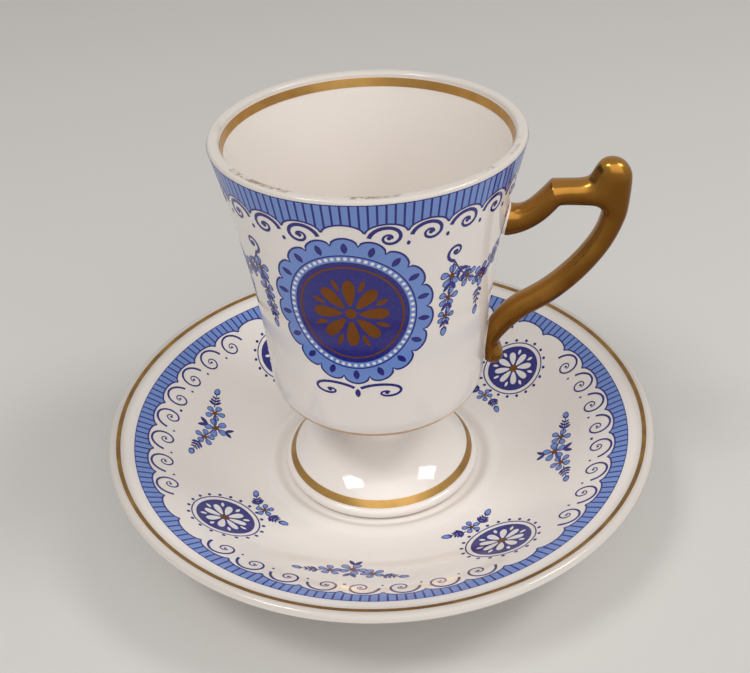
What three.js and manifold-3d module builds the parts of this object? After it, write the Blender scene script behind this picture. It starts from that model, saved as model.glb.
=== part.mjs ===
// Espresso cup and saucer: a footed porcelain cup with a scrolled loop handle, standing in its saucer.
// Millimetres, +Z up, origin on the table under the cup's axis, handle towards +X.
import * as THREE from 'three';
import { LoftGeometry } from 'three/addons/geometries/LoftGeometry.js';
import { mergeVertices } from 'three/addons/utils/BufferGeometryUtils.js';
import Module from 'manifold-3d';

// Saucer
const SAUCER_DIAMETER = 120;
const SAUCER_HEIGHT = 20.4;
const SAUCER_WALL = 3;
const SAUCER_LIP_RADIUS = 1;
const SAUCER_RIM_SLOPE = THREE.MathUtils.degToRad(20);
const SAUCER_RING_DIAMETER = 66;
const SAUCER_RING_WIDTH = 2.6;
const SAUCER_RING_HEIGHT = 3;
const BEAD_WIDTH = 3;
const BEAD_HEIGHT = 1;
const DISH_STEP = 0.5;
const DISH_FLAT = 1.5;
const DISH_BEND_SHARE = 0.36;
const RIM_BEND_SHARE = 0.39;

// Cup bowl, with heights above the cup's base
const CUP_HEIGHT = 81;
const MOUTH_DIAMETER = 60;
const BOWL_LOWER_DIAMETER = 45.8;
const BOWL_CORNER_RADIUS = 6.3;
const BOWL_INNER_CORNER_RADIUS = 6;
const BOWL_FLOOR = 3;
const CUP_WALL = 2.3;
const WALL_DIP = 1.3;

// Pedestal foot
const PEDESTAL_HEIGHT = 21.3;
const FOOT_DIAMETER = 44;
const FOOT_EDGE_RADIUS = 1.2;
const FOOT_RING_WIDTH = 2.4;
const FOOT_HOLLOW_HEIGHT = 6.5;
const SHOULDER_REACH = 5.3;
const SHOULDER_RISE = 6.6;
const NECK_DIAMETER = 14;
const NECK_LENGTH = 3.9;
const NECK_BEND = 6.5;
const NECK_FILLET = 2;
const NECK_PAD_EDGE = 0.6;

// Handle, with the upper joint below the rim and the lower joint above the bowl's underside,
// reaches from the bowl's wall, and rises and drops from the nearest joint
const HANDLE_WIDTH = 5.4;
const HANDLE_SQUARENESS = 0.8;
const UPPER_JOINT_DROP = 18;
const UPPER_JOINT_THICKNESS = 6;
const ARM_THICKNESS = 5;
const ARM_RISE = 6.4;
const KNUCKLE_REACH = 7.2;
const HANDLE_REACH = 20;
const BEND_RADIUS = 3.8;
const STRAP_THICKNESS = 4.8;
const STRAP_BOW = 1.5;
const STRAP_FOOT_PROUD = 6.6;
const STRAP_FOOT_RISE = 5.6;
const HORN_DIAMETER = 6.2;
const HORN_WAIST_WIDTH = 7.2;
const HORN_WAIST_RISE = 9;
const HORN_ROOT_WIDTH = 11;
const HORN_RISE = 10.9;
const LOWER_JOINT_RISE = 16.7;
const LOWER_JOINT_PROUD = 2.4;
const LOWER_JOINT_THICKNESS = 5.4;
const TAIL_PROUD = 1.6;
const TAIL_THICKNESS = 4;
const TAIL_DROP = 4.4;
const CURL_PROUD = 2.2;
const CURL_DIAMETER = 4.4;
const CURL_DROP = 7.6;

// Clearances
const WELL_CLEARANCE = 1.5;
const SEAT_GAP = 0.1;
const SLIP_GAP = 0.3;

// Facets
const SAUCER_SEGMENTS = 64;
const BOWL_SEGMENTS = 56;
const FOOT_SEGMENTS = 48;
const HANDLE_SIDES = 14;
const HANDLE_STEPS = 52;
const HORN_STEPS = 6;
const END_STEPS = 3;
const END_TURN = THREE.MathUtils.degToRad(78);
const ROUND_STEPS = 6;
const SWEEP_STEPS = 9;

// Heights and radii that follow from the driving dimensions
const wellFloor = SAUCER_RING_HEIGHT + SAUCER_WALL;
const footRadius = FOOT_DIAMETER / 2;
const mouthRadius = MOUTH_DIAMETER / 2;
const lowerRadius = BOWL_LOWER_DIAMETER / 2;
const cornerTop = PEDESTAL_HEIGHT + BOWL_CORNER_RADIUS;
const lipBase = CUP_HEIGHT - CUP_WALL / 2;
const upperJoint = CUP_HEIGHT - UPPER_JOINT_DROP;
const lowerJoint = PEDESTAL_HEIGHT + LOWER_JOINT_RISE;

// Materials
const glaze = new THREE.MeshStandardMaterial({ color: 0xf1eee8, roughness: 0.12, metalness: 0 });
const gilding = new THREE.MeshStandardMaterial({ color: 0xa8843a, roughness: 0.3, metalness: 0.9 });

const wasm = await Module();
wasm.setup();

// Points of an arc or ellipse in a radius and height plane
function arc(x, z, radiusX, radiusZ, start, end, steps = ROUND_STEPS) {
  const clockwise = end < start;
  return new THREE.EllipseCurve(x, z, radiusX, radiusZ, start, end, clockwise).getPoints(steps);
}

// Points of a cubic curve through four control points
function sweep(points, steps = SWEEP_STEPS) {
  const [a, b, c, d] = points.map(([x, z]) => new THREE.Vector2(x, z));
  return new THREE.CubicBezierCurve(a, b, c, d).getPoints(steps);
}

// A solid of revolution about Z from a profile that starts and ends on the axis
function revolve(profile, segments) {
  const geometry = new THREE.LatheGeometry(profile, segments);
  return geometry.rotateX(Math.PI / 2);
}

function point(radius, height) {
  return new THREE.Vector2(radius, height);
}

// A closed geometry as a solid for joining and cutting
function solidOf(geometry) {
  const bare = new THREE.BufferGeometry();
  bare.setAttribute('position', geometry.attributes.position);
  bare.setIndex(geometry.index);
  const merged = mergeVertices(bare);
  const mesh = new wasm.Mesh({
    numProp: 3,
    vertProperties: merged.attributes.position.array,
    triVerts: new Uint32Array(merged.index.array),
  });
  return new wasm.Manifold(mesh);
}

function geometryOf(solid) {
  const mesh = solid.getMesh();
  const geometry = new THREE.BufferGeometry();
  geometry.setAttribute('position', new THREE.BufferAttribute(mesh.vertProperties, 3));
  geometry.setIndex(new THREE.BufferAttribute(mesh.triVerts, 1));
  geometry.computeVertexNormals();
  return geometry;
}

// Radius of the bowl's outer wall, a straight flare that dips inwards
function wallRadius(height) {
  const share = (height - cornerTop) / (lipBase - cornerTop);
  const straight = THREE.MathUtils.lerp(lowerRadius, mouthRadius, share);
  return straight - 4 * WALL_DIP * share * (1 - share);
}

function wallPoints(from, to, inset) {
  const heights = Array.from({ length: ROUND_STEPS + 1 }, (_, i) => from + ((to - from) * i) / ROUND_STEPS);
  return heights.map((height) => point(wallRadius(height) - inset, height));
}

// Saucer: standing ring, dish, rolled lip, locating bead and well
function saucerGeometry() {
  const lip = point(SAUCER_DIAMETER / 2 - SAUCER_LIP_RADIUS, SAUCER_HEIGHT - SAUCER_LIP_RADIUS);
  const ringOuter = SAUCER_RING_DIAMETER / 2;
  const ringInner = ringOuter - SAUCER_RING_WIDTH;
  const beadRadius = footRadius + WELL_CLEARANCE + BEAD_WIDTH / 2;
  const dishFloor = wellFloor + DISH_STEP;
  const dishStart = beadRadius + BEAD_WIDTH / 2 + DISH_FLAT;
  const beadStart = Math.asin(DISH_STEP / BEAD_HEIGHT);
  const lipTopAngle = Math.PI / 2 + SAUCER_RIM_SLOPE;
  const lipUnderAngle = SAUCER_RIM_SLOPE - Math.PI / 2;
  const lipArc = arc(lip.x, lip.y, SAUCER_LIP_RADIUS, SAUCER_LIP_RADIUS, lipUnderAngle, lipTopAngle);
  const under = lipArc[0];
  const top = lipArc[lipArc.length - 1];
  const span = top.x - dishStart;
  const floorBend = dishStart + span * DISH_BEND_SHARE;
  const rimBend = point(
    top.x - span * RIM_BEND_SHARE * Math.cos(SAUCER_RIM_SLOPE),
    top.y - span * RIM_BEND_SHARE * Math.sin(SAUCER_RIM_SLOPE),
  );
  const dish = sweep([
    [top.x, top.y],
    [rimBend.x, rimBend.y],
    [floorBend, dishFloor],
    [dishStart, dishFloor],
  ]);
  const underside = sweep([
    [dishStart, SAUCER_RING_HEIGHT],
    [floorBend, SAUCER_RING_HEIGHT],
    [rimBend.x, rimBend.y - SAUCER_WALL],
    [under.x, under.y],
  ]);
  const profile = [
    point(0, SAUCER_RING_HEIGHT),
    point(ringInner, SAUCER_RING_HEIGHT),
    point(ringInner, 0),
    point(ringOuter, 0),
    ...underside.filter((p) => p.x > ringOuter && p.x < under.x),
    ...lipArc,
    ...dish.slice(1),
    ...arc(beadRadius, wellFloor, BEAD_WIDTH / 2, BEAD_HEIGHT, beadStart, Math.PI),
    point(0, wellFloor),
  ];
  return revolve(profile, SAUCER_SEGMENTS);
}

// Bowl: flat underside, round corner, flared wall, rounded lip and a deep inside
function bowlGeometry() {
  const corner = point(lowerRadius - BOWL_CORNER_RADIUS, cornerTop);
  const lipRadius = CUP_WALL / 2;
  const innerFloor = PEDESTAL_HEIGHT + BOWL_FLOOR;
  const innerCornerTop = innerFloor + BOWL_INNER_CORNER_RADIUS;
  const innerCorner = wallRadius(innerCornerTop) - CUP_WALL - BOWL_INNER_CORNER_RADIUS;
  const profile = [
    point(0, PEDESTAL_HEIGHT),
    ...arc(corner.x, corner.y, BOWL_CORNER_RADIUS, BOWL_CORNER_RADIUS, -Math.PI / 2, 0),
    ...wallPoints(cornerTop, lipBase, 0).slice(1),
    ...arc(mouthRadius - lipRadius, lipBase, lipRadius, lipRadius, 0, Math.PI).slice(1),
    ...wallPoints(lipBase, innerCornerTop, CUP_WALL).slice(1),
    ...arc(
      innerCorner,
      innerCornerTop,
      BOWL_INNER_CORNER_RADIUS,
      BOWL_INNER_CORNER_RADIUS,
      0,
      -Math.PI / 2,
    ).slice(1),
    point(0, innerFloor),
  ];
  return revolve(profile, BOWL_SEGMENTS);
}

// The bowl's outside as a filled solid, grown by the slip joint's thickness
function bowlEnvelope() {
  const corner = point(lowerRadius - BOWL_CORNER_RADIUS, cornerTop);
  const grown = BOWL_CORNER_RADIUS + SLIP_GAP;
  const profile = [
    point(0, PEDESTAL_HEIGHT - SLIP_GAP),
    ...arc(corner.x, corner.y, grown, grown, -Math.PI / 2, 0),
    ...wallPoints(cornerTop, lipBase, -SLIP_GAP).slice(1),
    point(0, lipBase),
  ];
  return revolve(profile, BOWL_SEGMENTS);
}

// Pedestal foot: half-round edge, dome, neck and pad, hollow below
function footGeometry() {
  const top = PEDESTAL_HEIGHT - SLIP_GAP;
  const edgeRadius = footRadius - FOOT_EDGE_RADIUS;
  const hollowRadius = edgeRadius - FOOT_RING_WIDTH;
  const neckRadius = NECK_DIAMETER / 2;
  const padRadius = neckRadius + NECK_FILLET;
  const padBase = top - NECK_PAD_EDGE;
  const neckBase = padBase - NECK_FILLET - NECK_LENGTH;
  const domeBase = 2 * FOOT_EDGE_RADIUS;
  const dome = sweep([
    [edgeRadius, domeBase],
    [edgeRadius - SHOULDER_REACH, domeBase + SHOULDER_RISE],
    [neckRadius, neckBase - NECK_BEND],
    [neckRadius, neckBase],
  ]);
  const profile = [
    point(0, FOOT_HOLLOW_HEIGHT),
    ...arc(0, 0, hollowRadius, FOOT_HOLLOW_HEIGHT, Math.PI / 2, 0).slice(1),
    ...arc(edgeRadius, FOOT_EDGE_RADIUS, FOOT_EDGE_RADIUS, FOOT_EDGE_RADIUS, -Math.PI / 2, Math.PI / 2),
    ...dome.slice(1),
    ...arc(padRadius, padBase - NECK_FILLET, NECK_FILLET, NECK_FILLET, Math.PI, Math.PI / 2),
    point(padRadius, top),
    point(0, top),
  ];
  return revolve(profile, FOOT_SEGMENTS);
}

// One oval section of the handle, square to its heading in the XZ plane
function section(centre, heading, thickness, width) {
  const ease = (value) => Math.sign(value) * Math.abs(value) ** HANDLE_SQUARENESS;
  return Array.from({ length: HANDLE_SIDES }, (_, i) => {
    const angle = (2 * Math.PI * i) / HANDLE_SIDES;
    const across = (ease(Math.sin(angle)) * thickness) / 2;
    const side = (ease(Math.cos(angle)) * width) / 2;
    return new THREE.Vector3(centre.x - heading.y * across, side, centre.y + heading.x * across);
  });
}

// An oval bar with a round far end, from stations of centre and thickness in the XZ plane
function bar(stations, steps) {
  const line = new THREE.CatmullRomCurve3(stations.map((station) => new THREE.Vector3(...station)));
  const headingAt = (share) => {
    const tangent = line.getTangent(share);
    return point(tangent.x, tangent.y).normalize();
  };
  const sections = [];
  for (let i = 0; i <= steps; i += 1) {
    const station = line.getPoint(i / steps);
    sections.push(section(point(station.x, station.y), headingAt(i / steps), station.z, HANDLE_WIDTH));
  }
  const end = line.getPoint(1);
  const heading = headingAt(1);
  for (let i = 1; i <= END_STEPS; i += 1) {
    const turn = (END_TURN * i) / END_STEPS;
    const centre = point(end.x, end.y).addScaledVector(heading, (end.z / 2) * Math.sin(turn));
    sections.push(section(centre, heading, end.z * Math.cos(turn), HANDLE_WIDTH * Math.cos(turn)));
  }
  return new LoftGeometry(sections, { capStart: true, capEnd: true });
}

// Handle: arm, strap and curled tail in one bar, with a thumb horn, cut to sit on the bowl's wall
function handleGeometry() {
  const jointRadius = wallRadius(upperJoint);
  const upper = (reach, rise, thickness) => [jointRadius + reach, upperJoint + rise, thickness];
  const lower = (proud, rise, thickness) => {
    const height = lowerJoint + rise;
    return [wallRadius(height) + proud, height, thickness];
  };
  const outerEdge = HANDLE_REACH + STRAP_THICKNESS / 2;
  const bendCut = BEND_RADIUS * (1 - Math.SQRT1_2);
  const strapTop = upper(HANDLE_REACH - STRAP_THICKNESS / 4, -STRAP_THICKNESS / 2, STRAP_THICKNESS);
  const strapFoot = lower(STRAP_FOOT_PROUD, STRAP_FOOT_RISE, STRAP_THICKNESS);
  const strapMiddle = [
    (strapTop[0] + strapFoot[0]) / 2 + STRAP_BOW,
    (strapTop[1] + strapFoot[1]) / 2,
    STRAP_THICKNESS,
  ];
  const loop = [
    upper(-CUP_WALL, 0, UPPER_JOINT_THICKNESS),
    upper(KNUCKLE_REACH - ARM_THICKNESS, 0, UPPER_JOINT_THICKNESS),
    upper(KNUCKLE_REACH - ARM_THICKNESS / 4, ARM_RISE / 3, ARM_THICKNESS),
    upper(KNUCKLE_REACH + ARM_THICKNESS / 3, ARM_RISE - ARM_THICKNESS / 6, ARM_THICKNESS),
    upper(KNUCKLE_REACH + ARM_THICKNESS, ARM_RISE, ARM_THICKNESS),
    upper(HANDLE_REACH - BEND_RADIUS, ARM_RISE, ARM_THICKNESS),
    upper(HANDLE_REACH - bendCut, ARM_RISE - bendCut, STRAP_THICKNESS),
    upper(HANDLE_REACH, ARM_RISE - BEND_RADIUS, STRAP_THICKNESS),
    strapTop,
    strapMiddle,
    strapFoot,
    lower(LOWER_JOINT_PROUD, 0, LOWER_JOINT_THICKNESS),
    lower(TAIL_PROUD, -TAIL_DROP, TAIL_THICKNESS),
    lower(CURL_PROUD, -CURL_DROP, CURL_DIAMETER),
  ];
  const horn = [
    upper(outerEdge - HORN_ROOT_WIDTH / 2, ARM_RISE - ARM_THICKNESS / 4, HORN_ROOT_WIDTH),
    upper(outerEdge - HORN_WAIST_WIDTH / 2, HORN_WAIST_RISE, HORN_WAIST_WIDTH),
    upper(outerEdge - HORN_DIAMETER / 2, HORN_RISE, HORN_DIAMETER),
  ];
  const whole = solidOf(bar(loop, HANDLE_STEPS)).add(solidOf(bar(horn, HORN_STEPS)));
  return geometryOf(whole.subtract(solidOf(bowlEnvelope())));
}

function piece(name, geometry, material) {
  const mesh = new THREE.Mesh(geometry, material);
  mesh.name = name;
  return mesh;
}

const cup = new THREE.Group();
cup.position.z = wellFloor + SEAT_GAP;
cup.add(piece('cup_bowl', bowlGeometry(), glaze));
cup.add(piece('cup_foot', footGeometry(), glaze));
cup.add(piece('cup_handle', handleGeometry(), gilding));

const set = new THREE.Group();
set.add(piece('saucer', saucerGeometry(), glaze));
set.add(cup);

export default set;
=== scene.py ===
"""Espresso cup and saucer in glazed porcelain, with gilding and a blue print.

One operator models each piece or group of like pieces, and one sets the stage.
Profiles are runs of (radius, height) points in metres. The print is drawn flat, in millimetres,
and then laid on the glaze.
"""

import bisect
import math

import bmesh
import bpy
from bpy.props import FloatProperty, FloatVectorProperty, IntProperty, PointerProperty
from mathutils import Matrix, Quaternion, Vector


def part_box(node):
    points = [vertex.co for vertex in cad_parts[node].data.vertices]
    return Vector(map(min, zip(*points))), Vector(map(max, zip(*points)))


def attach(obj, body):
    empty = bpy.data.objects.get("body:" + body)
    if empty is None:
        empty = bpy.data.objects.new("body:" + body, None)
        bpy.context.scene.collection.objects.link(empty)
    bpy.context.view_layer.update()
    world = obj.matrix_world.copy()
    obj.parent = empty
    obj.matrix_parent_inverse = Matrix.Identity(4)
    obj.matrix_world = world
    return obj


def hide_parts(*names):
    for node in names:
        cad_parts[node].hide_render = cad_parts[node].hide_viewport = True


bl_info = {
    "name": "Espresso Cup and Saucer",
    "version": (1, 0, 0),
    "blender": (4, 5, 0),
    "location": "View3D > Sidebar > Espresso",
    "description": "Models a footed porcelain espresso cup that stands in its saucer",
    "category": "Add Mesh",
}

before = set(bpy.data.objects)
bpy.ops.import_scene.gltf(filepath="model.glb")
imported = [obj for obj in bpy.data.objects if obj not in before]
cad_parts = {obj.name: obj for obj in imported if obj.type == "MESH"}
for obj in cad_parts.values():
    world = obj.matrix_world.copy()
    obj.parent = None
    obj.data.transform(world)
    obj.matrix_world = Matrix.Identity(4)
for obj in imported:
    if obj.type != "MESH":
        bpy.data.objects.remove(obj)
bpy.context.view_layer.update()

MM = 0.001
TAU = math.tau
HALF_TURN = math.pi
QUARTER_TURN = math.pi / 2
FRONT_AND_BACK = (-QUARTER_TURN, QUARTER_TURN)

# The corners of the pieces that the frame gives
_, SAUCER_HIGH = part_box("saucer")
BOWL_LOW, BOWL_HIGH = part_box("cup_bowl")
FOOT_LOW, FOOT_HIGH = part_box("cup_foot")
HANDLE_LOW, HANDLE_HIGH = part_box("cup_handle")

# Fineness of the meshes
TURNED_SEGMENTS = 192
ARC_STEPS = 14
WALL_STEPS = 60
SWEEP_STEPS = 48
BAND_STEPS = 6
FLOOR_SEGMENTS = 96
ROUNDING_LEVELS = 4
MERGE_DISTANCE = 0.002 * MM
SMOOTH_ANGLE = math.radians(40)

# The handle's cage, which rounding draws in
CAGE_SHARE = 0.93
BAR_CREASE = 0.14
KNUCKLE_CREASE = 0.6

# How far each ink stands off the glaze, and how far its underside lies in it
LIFTS = {"sky": 0.03 * MM, "cobalt": 0.045 * MM, "white": 0.06 * MM, "gold": 0.06 * MM}
SINK = 0.01 * MM

# How far each stamp of an ink lies above the one before, and after how many it starts again
STAMP_STEP = 0.0006 * MM
STAMP_LEVELS = 8

# Weights of the drawn lines, in millimetres
HAIR = 0.17
FINE = 0.28
FIRM = 0.37
BOLD = 0.66

# How sharp the point of a leaf is, and how far a petal narrows to its foot
LEAF_POINT = 1.6
PETAL_TAPER = 0.28

# Surface of the glaze, also where it lies over ink
GLAZE_INDEX = 1.5
GLAZE_ROUGHNESS = 0.07
BISCUIT_ROUGHNESS = 0.7
RIPPLE_SCALE = 110.0
RIPPLE_DEPTH = 0.03 * MM

# The camera's sensor and reach
SENSOR_WIDTH = 36.0
CAMERA_NEAR = 10 * MM
CAMERA_FAR = 20.0


# Settings

def setting(kind, name, description, default, **options):
    return kind(name=name, description=description, default=default, **options)


def length(name, description, millimetres):
    return setting(FloatProperty, name, description, millimetres * MM, unit="LENGTH", precision=5)


def angle(name, description, degrees):
    return setting(FloatProperty, name, description, math.radians(degrees), subtype="ANGLE")


def share(name, description, value):
    return setting(FloatProperty, name, description, value, min=0.0, max=1.0, subtype="FACTOR")


def amount(name, description, value):
    return setting(FloatProperty, name, description, value, min=0.0)


def power(name, description, watts):
    return setting(FloatProperty, name, description, watts, min=0.0, unit="POWER")


def count(name, description, number):
    return setting(IntProperty, name, description, number, min=1)


def colour(name, description, red, green, blue):
    tone = (red, green, blue, 1.0)
    return setting(FloatVectorProperty, name, description, tone, size=4, min=0.0, max=1.0, subtype="COLOR")


class SaucerSettings(bpy.types.PropertyGroup):
    """Sizes of the saucer"""

    radius: length("Radius", "Radius over the lip", SAUCER_HIGH.x / MM)
    height: length("Height", "Height of the lip above the table", SAUCER_HIGH.z / MM)
    wall: length("Wall", "Thickness of the dish", 3.0)
    lip_radius: length("Lip radius", "Radius of the rolled lip", 1.0)
    rim_slope: angle("Rim slope", "Slope of the dish at the lip", 20.0)
    ring_radius: length("Ring radius", "Outer radius of the standing ring", 33.0)
    ring_width: length("Ring width", "Width of the standing ring", 2.6)
    ring_height: length("Ring height", "Height of the standing ring", 3.0)
    ring_edge: length("Ring edge", "Radius of the standing ring's edges", 0.8)
    bead_radius: length("Bead radius", "Radius of the bead that locates the cup", 25.2)
    bead_width: length("Bead width", "Width of the bead", 5.0)
    bead_height: length("Bead height", "Height of the bead above the well", 0.95)
    dish_step: length("Dish step", "Height of the dish's floor above the well", 0.5)
    dish_bend: share("Dish bend", "Share of the dish that bends up from the floor", 0.36)
    rim_bend: share("Rim bend", "Share of the dish that bends over to the lip", 0.39)


class BowlSettings(bpy.types.PropertyGroup):
    """Sizes of the cup's bowl"""

    base: length("Base", "Height of the underside above the table", BOWL_LOW.z / MM)
    rim: length("Rim", "Height of the lip above the table", BOWL_HIGH.z / MM)
    mouth_radius: length("Mouth radius", "Outer radius at the lip", BOWL_HIGH.x / MM)
    lower_radius: length("Lower radius", "Outer radius above the bottom corner", 22.9)
    dip: length("Dip", "How far the flared wall dips inwards", 1.3)
    wall: length("Wall", "Thickness of the wall", 2.3)
    floor: length("Floor", "Thickness of the floor", 3.0)
    lip_edge: length("Lip edge", "Radius of the edges of the lip", 0.75)
    corner_radius: length("Corner radius", "Outer radius of the bottom corner", 6.3)
    inner_corner: length("Inner corner", "Inner radius of the bottom corner", 6.0)


class FootSettings(bpy.types.PropertyGroup):
    """Sizes of the pedestal foot"""

    base: length("Base", "Height of the foot's base above the table", FOOT_LOW.z / MM)
    radius: length("Radius", "Radius over the rounded edge", FOOT_HIGH.x / MM)
    edge_radius: length("Edge radius", "Radius of the rounded edge", 1.2)
    ring_width: length("Ring width", "Width of the standing ring", 2.4)
    hollow: length("Hollow", "Height of the hollow under the foot", 6.5)
    shoulder_reach: length("Shoulder reach", "How far the dome draws in at the shoulder", 5.3)
    shoulder_rise: length("Shoulder rise", "How far the dome rises at the shoulder", 6.6)
    neck_radius: length("Neck radius", "Radius of the neck", 7.0)
    neck_height: length("Neck height", "Height of the neck's foot above the base", 14.5)
    neck_bend: length("Neck bend", "How sharply the dome turns up into the neck", 6.5)
    neck_fillet: length("Neck fillet", "Radius where the neck meets the bowl", 2.6)


class HandleSettings(bpy.types.PropertyGroup):
    """Sizes of the scrolled handle"""

    width: length("Width", "Width of the bar", 5.4)
    arm_height: length("Arm height", "Height of the arm's middle above the table", 75.1)
    arm_thickness: length("Arm thickness", "Thickness of the arm", 4.7)
    root_height: length("Root height", "Height of the upper root above the table", 68.8)
    root_thickness: length("Root thickness", "Thickness of the upper root", 6.2)
    strap_thickness: length("Strap thickness", "Thickness of the strap", 4.55)
    outer_radius: length("Outer edge", "Distance of the outer edge from the axis", HANDLE_HIGH.x / MM)
    top: length("Top", "Height of the thumb horn above the table", HANDLE_HIGH.z / MM)
    bottom: length("Bottom", "Height of the curled tail's end above the table", HANDLE_LOW.z / MM)
    bare_root: length("Bare root", "Width of the ungilded root beside the wall", 0.35)


class GildingSettings(bpy.types.PropertyGroup):
    """Sizes and places of the gold lines"""

    rim_gap: length("Rim gap", "Bare glaze between the cup's lip and its inner band", 0.3)
    rim_band: length("Rim band", "Width of the band inside the cup", 1.8)
    corner_angle: angle("Corner line", "Angle of the line below the bowl's bottom corner", 46.0)
    corner_line: length("Corner line width", "Width of the line round the bowl's bottom corner", 1.6)
    foot_band: length("Foot band", "Width of the band round the foot", 1.7)
    saucer_radius: length("Saucer line", "Radius of the line round the saucer", 57.95)
    saucer_line: length("Saucer line width", "Width of the line round the saucer", 0.9)


class DesignSettings(bpy.types.PropertyGroup):
    """Sizes and places of the print"""

    stripes: count("Stripes", "Stripes in each bite of the borders", 5)
    cup_bites: count("Cup bites", "Round bites in the cup's border, a multiple of four", 24)
    cup_band_shallow: length("Cup band", "Depth of the cup's band over a bite", 4.3)
    cup_band_deep: length("Cup band points", "Depth of the cup's band between bites", 6.6)
    cup_scroll_weight: length("Cup scroll weight", "Width of the cup's border scrolls", 0.792)
    cup_scroll_squash: amount("Cup scroll squash", "Height over width of the cup's scrolls", 0.86)
    cup_medallion_height: length("Cup medallion", "Depth of the medallion's middle below the lip", 24.8)
    cup_medallion_scale: amount("Cup medallion scale", "Scale of the cup's medallions", 1.05)
    cup_scroll_drop: length("Medallion scrolls", "Depth of the scrolls below the medallion's middle", 20.0)
    festoon_height: length("Festoon", "How far the festoons hang below the lip", 16.0)
    festoon_angle: angle("Festoon angle", "Angle of the festoons to the side of a medallion", 61.0)
    saucer_bites: count("Saucer bites", "Round bites in the saucer's border", 40)
    saucer_band_radius: length("Saucer band", "Outer radius of the saucer's band", 54.75)
    saucer_band_shallow: length("Saucer band depth", "Depth of the saucer's band over a bite", 2.95)
    saucer_band_deep: length("Saucer band points", "Depth of the saucer's band between bites", 4.7)
    saucer_scroll_weight: length("Saucer scroll weight", "Width of the saucer's border scrolls", 0.561)
    saucer_scroll_squash: amount("Saucer scroll squash", "Height over width of the saucer's scrolls", 1.15)
    saucer_medallion_radius: length("Saucer medallions", "Distance of the medallions from the axis", 41.2)
    medallion_gap: angle("Medallion gap", "Angle to each side of a medallion that has no scrolls", 10.5)
    bouquet_radius: length("Bouquets", "Distance of the bouquets from the axis", 40.0)


class FinishSettings(bpy.types.PropertyGroup):
    """Colours of the finishes"""

    glaze: colour("Glaze", "White glaze", 0.865, 0.815, 0.772)
    glaze_shade: colour("Glaze shade", "Glaze where it lies thicker", 0.845, 0.798, 0.76)
    # Glaze colour laid darker near the top of each lip, on the cup and on the saucer
    lip: colour("Lip", "Glaze that has run thin on the lips", 0.65, 0.605, 0.56)
    biscuit: colour("Biscuit", "Unglazed body on the standing rings", 0.66, 0.60, 0.53)
    wear: colour("Wear", "Scuffs along the cup's lip", 0.30, 0.22, 0.15)
    gold: colour("Gold", "Gilding of the lines", 0.50, 0.295, 0.095)
    gold_dark: colour("Dark gold", "Gilding of the lines where it lies thin", 0.42, 0.238, 0.070)
    # Painted shade: a darker copy of the line gilding, for the saucer's line, that dims its reflection
    gold_painted_shade: colour("Worn gold", "Gilding of the saucer's line where it is worn", 0.27, 0.15, 0.05)
    # Painted shade on the handle: a lit gold where it faces up, and a darker brown where it faces down
    handle_gold: colour("Handle gold", "Gilding of the handle where it faces up", 0.42, 0.20, 0.04)
    handle_painted_shade: colour("Handle brown", "Gilding of the handle where it faces down", 0.15, 0.058, 0.009)
    print_gold: colour("Print gold", "Gold ink of the print", 0.25, 0.092, 0.020)
    print_brown: colour("Print brown", "Gold ink of the print where it lies thin", 0.21, 0.075, 0.016)
    sky: colour("Sky blue", "Pale blue of the bands and petals", 0.16, 0.272, 0.635)
    cobalt: colour("Cobalt", "Dark blue of the lines and grounds", 0.012, 0.010, 0.19)
    white: colour("White", "White petals on a cobalt ground", 0.80, 0.78, 0.77)


class StageSettings(bpy.types.PropertyGroup):
    """Floor, light and camera"""

    floor_radius: length("Floor radius", "Radius of the floor", 1600.0)
    floor: colour("Floor", "Pale floor", 0.64, 0.63, 0.615)
    sky_tone: colour("Sky tone", "Colour of the even light", 1.0, 0.985, 0.965)
    sky_light: amount("Sky light", "Strength of the even light", 0.285)
    backdrop: amount("Backdrop", "Strength of the even light as it is seen", 0.62)
    lamp_tone: colour("Lamp tone", "Colour of the windows and the soft panel", 1.0, 0.975, 0.945)
    window_power: power("Window power", "Power of each window", 2.1)
    window_size: length("Window size", "Width and height of each window", 240.0)
    window_distance: length("Window distance", "Distance of each window", 900.0)
    left_turn: angle("Left window turn", "Angle of the left window to the left of the camera", 60.0)
    left_rise: angle("Left window rise", "Angle of the left window above the table", 61.0)
    left_lean: angle("Left window lean", "Lean of the left window", -28.0)
    right_turn: angle("Right window turn", "Angle of the right window to the right of the camera", 83.0)
    right_rise: angle("Right window rise", "Angle of the right window above the table", 53.0)
    right_lean: angle("Right window lean", "Lean of the right window", 15.0)
    panel_power: power("Panel power", "Power of the soft panel", 18.5)
    panel_size: length("Panel size", "Width and height of the soft panel", 2400.0)
    panel_distance: length("Panel distance", "Distance of the soft panel", 1800.0)
    panel_turn: angle("Panel turn", "Angle of the soft panel to the right of the camera", 14.0)
    panel_rise: angle("Panel rise", "Angle of the soft panel above the table", 42.0)
    camera_distance: length("Camera distance", "Distance from the centre of the saucer's lip", 229.3)
    camera_rise: angle("Camera rise", "Angle of the camera above the saucer's lip", 39.2)
    camera_azimuth: angle("Camera azimuth", "Angle of the camera round the cup from the front", 10.0)
    camera_roll: angle("Camera roll", "Lean of the camera to its right", 2.662)
    aim_side: length("Aim to the side", "How far to the left of the cup's axis the camera aims", 0.3)
    aim_rise: length("Aim rise", "How far above the saucer's lip the camera aims", 19.65)
    lens: setting(FloatProperty, "Lens", "Focal length for a 36 mm wide sensor", 48.7, unit="CAMERA")


class EspressoSettings(bpy.types.PropertyGroup):
    """All settings of the espresso cup and saucer"""

    saucer: PointerProperty(type=SaucerSettings)
    bowl: PointerProperty(type=BowlSettings)
    foot: PointerProperty(type=FootSettings)
    handle: PointerProperty(type=HandleSettings)
    gilding: PointerProperty(type=GildingSettings)
    design: PointerProperty(type=DesignSettings)
    finish: PointerProperty(type=FinishSettings)
    stage: PointerProperty(type=StageSettings)


# Profiles

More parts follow.
